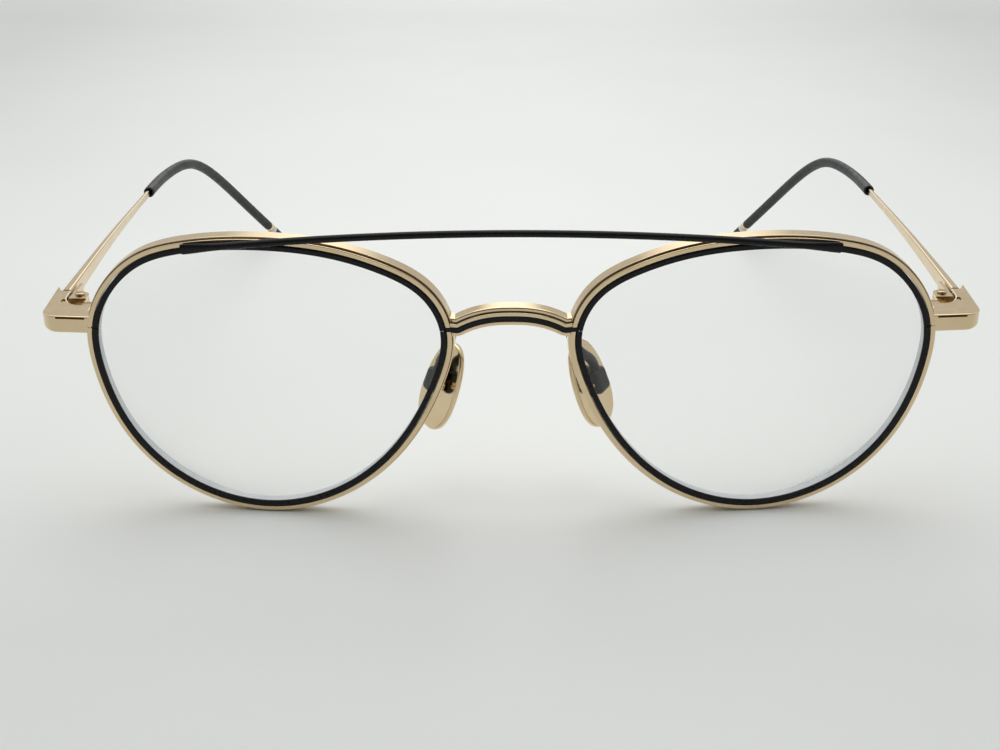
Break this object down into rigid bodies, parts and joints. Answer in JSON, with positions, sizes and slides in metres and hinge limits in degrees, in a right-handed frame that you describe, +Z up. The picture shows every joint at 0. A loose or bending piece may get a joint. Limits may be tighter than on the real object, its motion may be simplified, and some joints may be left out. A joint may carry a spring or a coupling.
{
  "type": "aviator eyeglasses",
  "caption": "Metal aviator eyeglasses with black-lined round-drop rims, a brow bar, a low bridge, screwed nose pads and folding temples with curved sleeved tips.",
  "frame": {"origin": "middle of the footprint, at the height of the table that the rims' lowest points and the temple tips rest on", "axes": "+X to the viewer's right when facing the front of the glasses, +Y from the front towards the temple tips, +Z up"},
  "size_m": [0.1406, 0.1488, 0.0464],
  "materials": {
    "champagne_gold": "polished pale gold plating",
    "black_enamel": "satin black enamel",
    "matte_black_tip": "matte",
    "clear_lens": "clear and polished",
    "pale_band": "smooth"
  },
  "bodies": {
    "front_frame": {"rim_right": "champagne_gold", "rim_left": "champagne_gold", "inner_ring_upper_right": "black_enamel", "inner_ring_upper_left": "black_enamel", "inner_ring_lower_right": "black_enamel", "inner_ring_lower_left": "black_enamel", "lens_right": "clear_lens", "lens_left": "clear_lens", "bridge": "champagne_gold", "bridge_inlay": "black_enamel", "brow_bar": "black_enamel", "endpiece_right": "champagne_gold", "endpiece_left": "champagne_gold", "rim_lock_upper_right": "champagne_gold", "rim_lock_upper_left": "champagne_gold", "rim_lock_lower_right": "champagne_gold", "rim_lock_lower_left": "champagne_gold", "rim_lock_screw_right": "champagne_gold", "rim_lock_screw_left": "champagne_gold", "hinge_leaf_front_right": "champagne_gold", "hinge_leaf_front_left": "champagne_gold", "hinge_screw_right": "champagne_gold", "hinge_screw_left": "champagne_gold", "pad_arm_right": "black_enamel", "pad_arm_left": "black_enamel", "pad_box_right": "black_enamel", "pad_box_left": "black_enamel", "pad_screw_right": "champagne_gold", "pad_screw_left": "champagne_gold"},
    "temple_right": {"hinge_leaf_temple_right": "champagne_gold", "temple_arm_right": "champagne_gold", "tip_sleeve_right": "matte_black_tip", "tip_collar_right": "champagne_gold", "tip_band_right": "pale_band", "tip_cap_right": "matte_black_tip"},
    "temple_left": {"hinge_leaf_temple_left": "champagne_gold", "temple_arm_left": "champagne_gold", "tip_sleeve_left": "matte_black_tip", "tip_collar_left": "champagne_gold", "tip_band_left": "pale_band", "tip_cap_left": "matte_black_tip"},
    "pad_right": {"nose_pad_right": "champagne_gold"},
    "pad_left": {"nose_pad_left": "champagne_gold"}
  },
  "joints": [
    {"name": "temple_fold_right", "type": "hinge", "parent": "front_frame", "child": "temple_right", "pos_m": [0.06502, -0.05889, 0.03053], "axis": [0, 0, 1], "range_deg": [0, 88]},
    {"name": "temple_fold_left", "type": "hinge", "parent": "front_frame", "child": "temple_left", "pos_m": [-0.06502, -0.05889, 0.03053], "axis": [0, 0, -1], "range_deg": [0, 80]},
    {"name": "pad_rock_right", "type": "hinge", "parent": "front_frame", "child": "pad_right", "pos_m": [0.0132, -0.0628, 0.01903], "axis": [-0.5821, -0.7721, -0.2549], "range_deg": [-8, 8]},
    {"name": "pad_rock_left", "type": "hinge", "parent": "front_frame", "child": "pad_left", "pos_m": [-0.0115, -0.0628, 0.01903], "axis": [0.5821, -0.7721, -0.2549], "range_deg": [-8, 8]}
  ]
}
